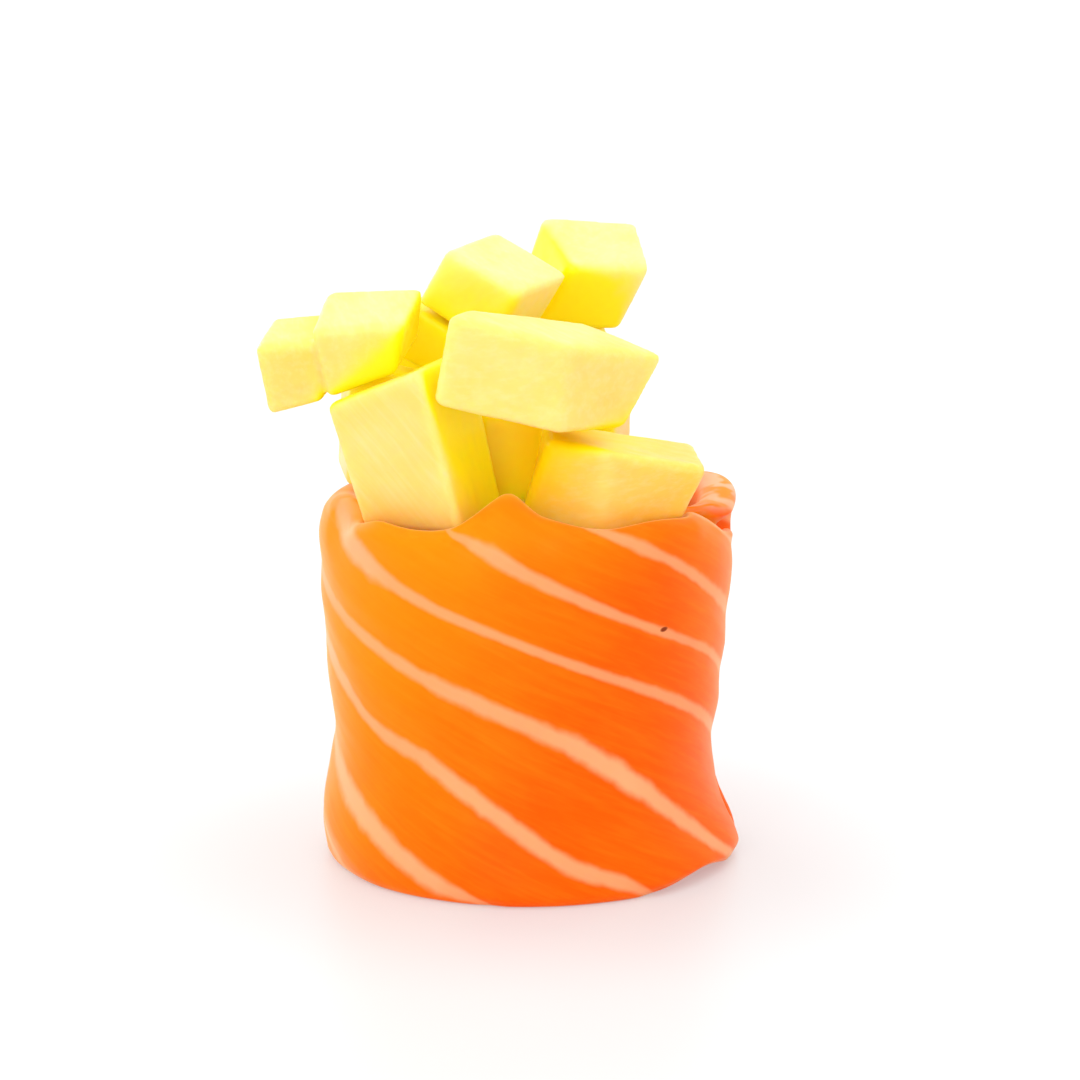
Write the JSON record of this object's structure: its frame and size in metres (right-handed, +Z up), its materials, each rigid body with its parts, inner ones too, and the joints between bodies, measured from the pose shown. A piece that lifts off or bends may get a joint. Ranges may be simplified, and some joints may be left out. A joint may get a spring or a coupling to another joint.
{
  "type": "mango gunkan sushi",
  "caption": "Upright gunkan sushi: a strip of salmon wrapped round a cylinder of pressed rice, with a loose pile of mango dice on top.",
  "frame": {"origin": "middle of the rice's flat foot, on the plane that the sushi stands on", "axes": "+Z up, -Y towards the side that the picture shows, +X to the right in it, where the strip's free end lies"},
  "size_m": [0.0421, 0.038, 0.0556],
  "materials": {
    "salmon": "moist raw salmon, orange with pale lines of fat, satin",
    "mango": "ripe mango flesh, knife-cut, wet and faintly fibrous",
    "rice": "cooked white rice, sticky satin"
  },
  "bodies": {
    "root": {"salmon_wrap": "salmon", "rice": "rice", "mango_front_left": "mango", "mango_front_right": "mango", "mango_middle": "mango", "mango_left": "mango", "mango_upper": "mango", "mango_top": "mango", "mango_inner": "mango", "mango_behind_left": "mango", "mango_right": "mango", "mango_centre": "mango", "mango_back_left": "mango", "mango_back_right": "mango", "mango_back_middle": "mango", "mango_back_upper": "mango"}
  },
  "joints": []
}
